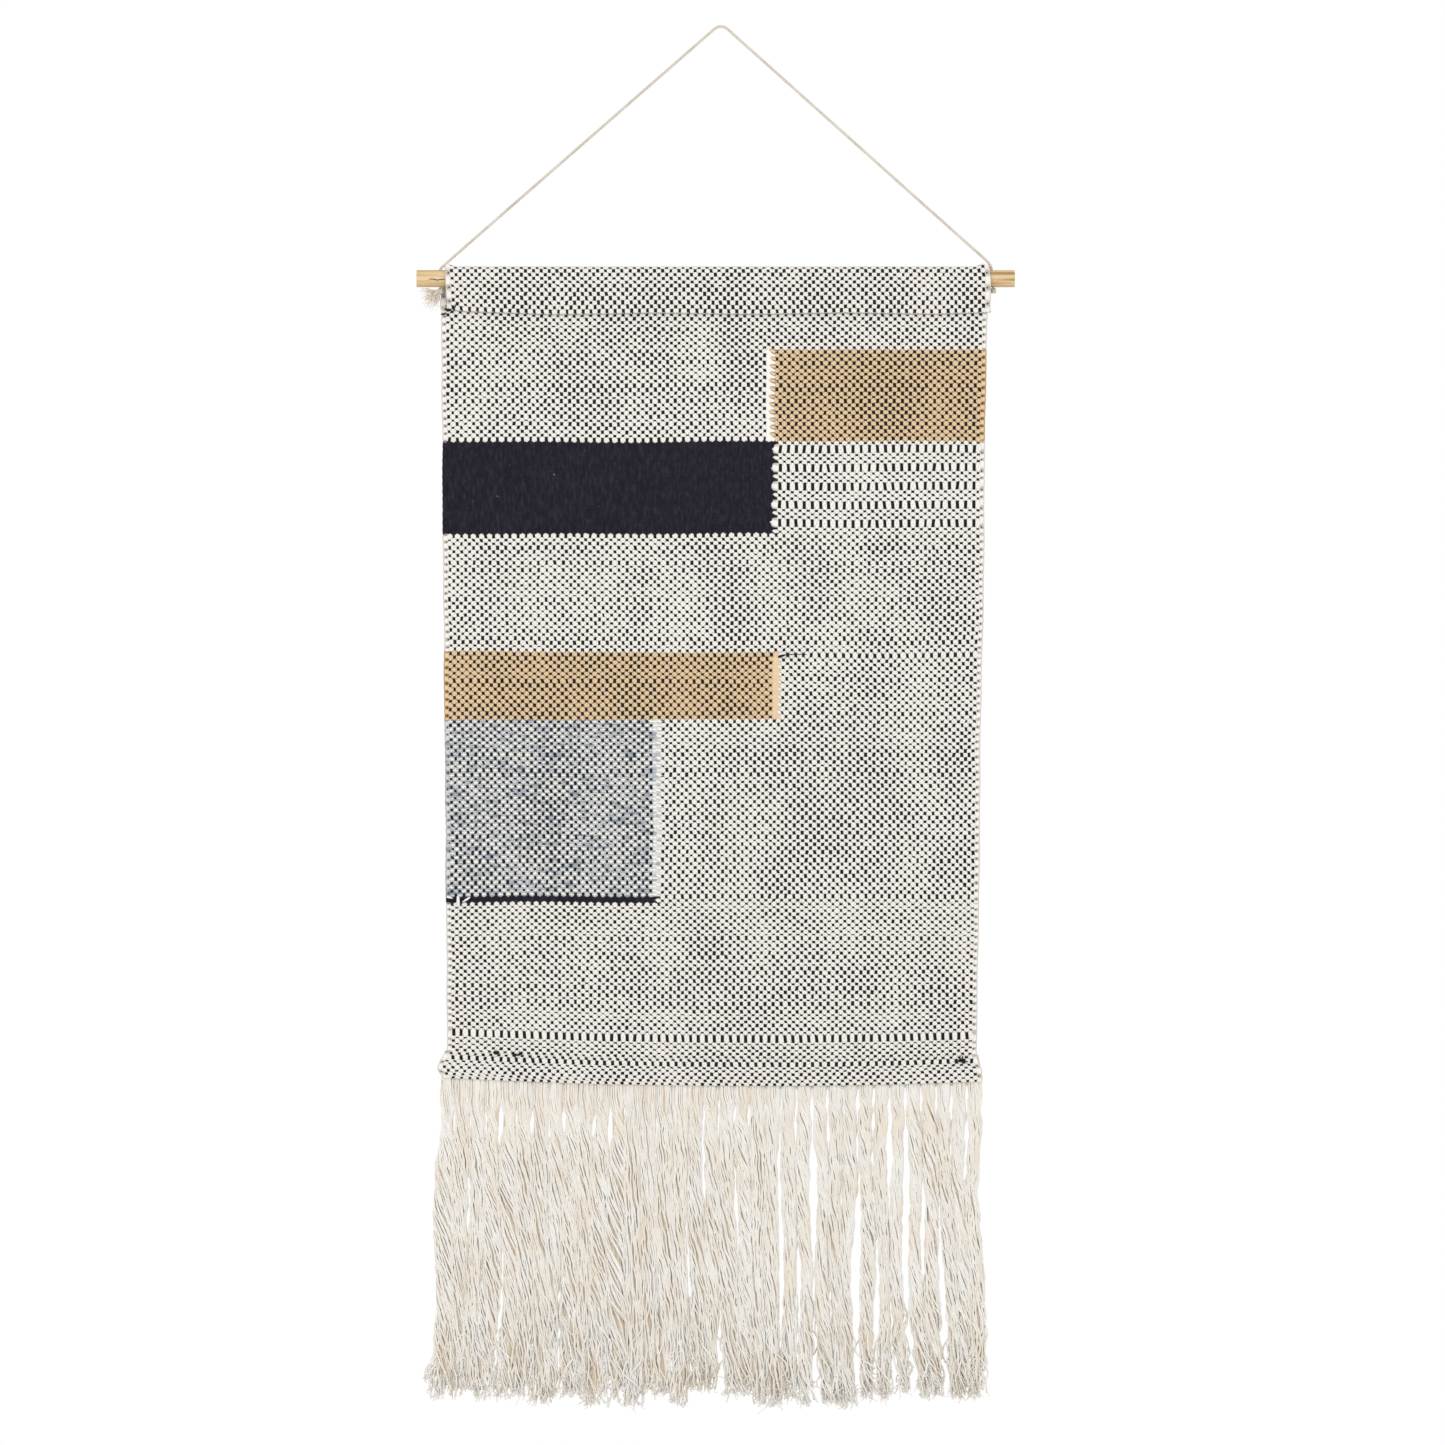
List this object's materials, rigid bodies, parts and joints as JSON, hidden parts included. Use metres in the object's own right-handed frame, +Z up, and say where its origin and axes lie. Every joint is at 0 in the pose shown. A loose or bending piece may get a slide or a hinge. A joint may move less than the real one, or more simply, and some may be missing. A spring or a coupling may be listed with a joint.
{
  "type": "tapestry wall hanging",
  "caption": "Woven cotton wall hanging with colour blocks, folded over a wooden dowel, hung by a taut cotton cord, with a long yarn fringe below.",
  "frame": {"origin": "the hanging point: where the inside of the cord's bend rests on a nail or hook", "axes": "+X to the right as seen from the front and along the dowel, +Z up, the front of the cloth faces -Y and the wall is towards +Y"},
  "size_m": [0.5588, 0.0224, 1.2968],
  "materials": {
    "pine_wood": "bare sanded pine",
    "cord_cotton": "twisted matte cotton",
    "ecru_cotton": "plump undyed cotton weft over black warp",
    "tan_cotton": "tan cotton weft over black warp",
    "navy_cotton": "dense navy cotton weft",
    "grey_cotton": "variegated grey-blue cotton weft over black warp",
    "black_cotton": "black cotton warp and thread",
    "fringe_cotton": "loose natural cotton yarn",
    "sewing_thread": "fine cotton thread"
  },
  "bodies": {
    "hanger": {"dowel": "pine_wood", "hanging_cord": "cord_cotton", "stopper_knot_left": "cord_cotton", "stopper_knot_right": "cord_cotton", "cord_tail_left": "cord_cotton"},
    "cloth": {"rod_pocket": "ecru_cotton", "ecru_field_top": "ecru_cotton", "ecru_field_upper_left": "ecru_cotton", "tan_block_upper": "tan_cotton", "navy_block": "navy_cotton", "dashed_block": "ecru_cotton", "ecru_field_middle": "ecru_cotton", "tan_block_lower": "tan_cotton", "navy_line_right": "navy_cotton", "ecru_field_right": "ecru_cotton", "grey_block": "grey_cotton", "navy_line_left": "navy_cotton", "ecru_field_lower_right": "ecru_cotton", "ecru_field_bottom": "ecru_cotton", "dashed_row": "ecru_cotton", "ecru_field_foot": "ecru_cotton", "bottom_hem": "ecru_cotton", "pocket_stitching": "sewing_thread", "hem_thread_knots": "black_cotton", "fringe_heading": "fringe_cotton"},
    "fringe_1": {"fringe_bundle_01": "fringe_cotton", "fringe_bundle_02": "fringe_cotton", "fringe_bundle_03": "fringe_cotton", "fringe_bundle_04": "fringe_cotton", "fringe_bundle_05": "fringe_cotton", "fringe_bundle_06": "fringe_cotton", "fringe_bundle_07": "fringe_cotton"},
    "fringe_2": {"fringe_bundle_08": "fringe_cotton", "fringe_bundle_09": "fringe_cotton", "fringe_bundle_10": "fringe_cotton", "fringe_bundle_11": "fringe_cotton", "fringe_bundle_12": "fringe_cotton", "fringe_bundle_13": "fringe_cotton", "fringe_bundle_14": "fringe_cotton"},
    "fringe_3": {"fringe_bundle_15": "fringe_cotton", "fringe_bundle_16": "fringe_cotton", "fringe_bundle_17": "fringe_cotton", "fringe_bundle_18": "fringe_cotton", "fringe_bundle_19": "fringe_cotton", "fringe_bundle_20": "fringe_cotton", "fringe_bundle_21": "fringe_cotton"},
    "fringe_4": {"fringe_bundle_22": "fringe_cotton", "fringe_bundle_23": "fringe_cotton", "fringe_bundle_24": "fringe_cotton", "fringe_bundle_25": "fringe_cotton", "fringe_bundle_26": "fringe_cotton", "fringe_bundle_27": "fringe_cotton", "fringe_bundle_28": "fringe_cotton"},
    "fringe_5": {"fringe_bundle_29": "fringe_cotton", "fringe_bundle_30": "fringe_cotton", "fringe_bundle_31": "fringe_cotton", "fringe_bundle_32": "fringe_cotton", "fringe_bundle_33": "fringe_cotton", "fringe_bundle_34": "fringe_cotton", "fringe_bundle_35": "fringe_cotton"}
  },
  "joints": [
    {"name": "cloth_swing", "type": "hinge", "parent": "hanger", "child": "cloth", "pos_m": [-0.0035, 0, -0.234], "axis": [-1, 0, 0], "range_deg": [-15, 90]},
    {"name": "fringe_1_swing", "type": "hinge", "parent": "cloth", "child": "fringe_1", "pos_m": [-0.2127, 0.0036, -0.9896], "axis": [-1, 0, 0], "range_deg": [-90, 90]},
    {"name": "fringe_2_swing", "type": "hinge", "parent": "cloth", "child": "fringe_2", "pos_m": [-0.1111, 0.0036, -0.9896], "axis": [-1, 0, 0], "range_deg": [-90, 90]},
    {"name": "fringe_3_swing", "type": "hinge", "parent": "cloth", "child": "fringe_3", "pos_m": [-0.0095, 0.0036, -0.9896], "axis": [-1, 0, 0], "range_deg": [-90, 90]},
    {"name": "fringe_4_swing", "type": "hinge", "parent": "cloth", "child": "fringe_4", "pos_m": [0.0921, 0.0036, -0.9896], "axis": [-1, 0, 0], "range_deg": [-90, 90]},
    {"name": "fringe_5_swing", "type": "hinge", "parent": "cloth", "child": "fringe_5", "pos_m": [0.1937, 0.0036, -0.9896], "axis": [-1, 0, 0], "range_deg": [-90, 90]}
  ]
}
